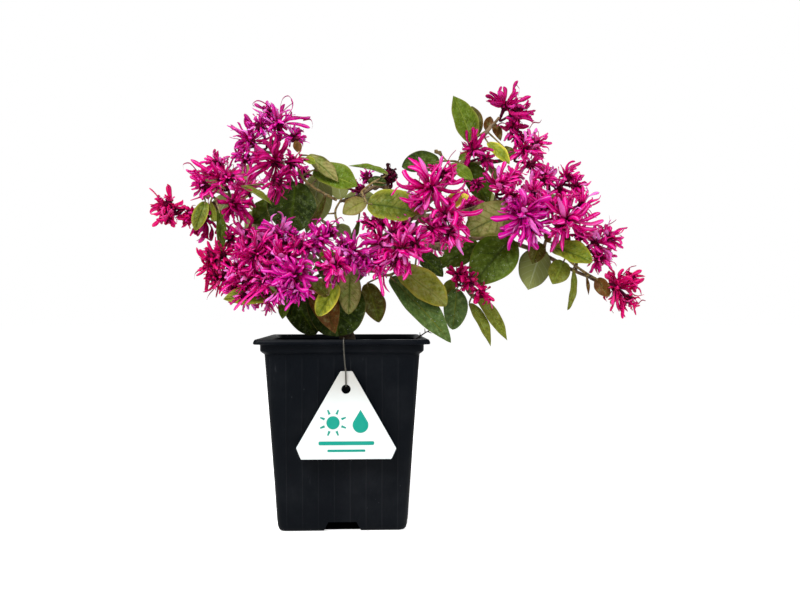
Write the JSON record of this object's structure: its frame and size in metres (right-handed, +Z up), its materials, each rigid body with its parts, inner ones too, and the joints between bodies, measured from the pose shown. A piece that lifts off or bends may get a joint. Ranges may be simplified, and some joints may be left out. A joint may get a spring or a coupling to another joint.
{
  "type": "loropetalum bonsai in nursery pot",
  "caption": "Young flowering shrub trained as a bonsai, with strap-petalled magenta heads and oval leaves, in a square tapered nursery pot with a wired hang tag.",
  "frame": {"origin": "centre of the pot's flat base, on the surface that it stands on", "axes": "+Z up, +X to the right as the tag is seen from the front, +Y away from the viewer"},
  "size_m": [0.3377, 0.1538, 0.2969],
  "materials": {
    "pot_plastic": "satin black, lightly scuffed",
    "soil": "rough, damp peat",
    "bark": "rough bark",
    "leaves": "semi-gloss leaf, fine hairs",
    "petals": "soft petal sheen",
    "withered": "dry",
    "tag_plastic": "smooth",
    "wire": "dull galvanised"
  },
  "bodies": {
    "root": {"dead_twig": "bark", "head_back_left_a": "petals", "head_back_left_b": "petals", "head_back_right_a": "petals", "head_back_right_b": "petals", "head_big_front": "petals", "head_big_low": "petals", "head_centre": "petals", "head_centre_dark": "petals", "head_centre_front": "petals", "head_centre_low": "petals", "head_centre_right": "petals", "head_far_left": "petals", "head_far_right": "petals", "head_front_arch": "petals", "head_front_bright": "petals", "head_front_centre": "petals", "head_front_left": "petals", "head_front_left_low": "petals", "head_left_hanging": "petals", "head_left_low_red": "petals", "head_left_purple": "petals", "head_left_skirt": "petals", "head_left_upper": "petals", "head_right_bright": "petals", "head_right_centre": "petals", "head_right_edge": "petals", "head_right_hidden": "petals", "head_right_inner": "petals", "head_right_middle": "petals", "head_right_purple": "petals", "head_right_red": "petals", "head_right_upper": "petals", "head_small_pale": "petals", "head_top_left": "petals", "head_top_left_tip": "petals", "head_top_right": "petals", "pot": "pot_plastic", "soil": "soil", "stem_back_left": "leaves", "stem_back_low": "leaves", "stem_back_middle": "leaves", "stem_back_right": "leaves", "stem_centre_front": "leaves", "stem_centre_low": "leaves", "stem_centre_right": "leaves", "stem_far_left": "leaves", "stem_left": "leaves", "stem_low_front": "leaves", "stem_right": "leaves", "stem_right_low": "leaves", "stem_right_lower": "leaves", "stem_right_upper": "leaves", "stem_top_left": "leaves", "stem_top_right": "leaves", "stem_upper_left": "leaves", "tag": "tag_plastic", "tag_wire": "wire", "withered_head": "withered", "wood": "bark"}
  },
  "joints": []
}
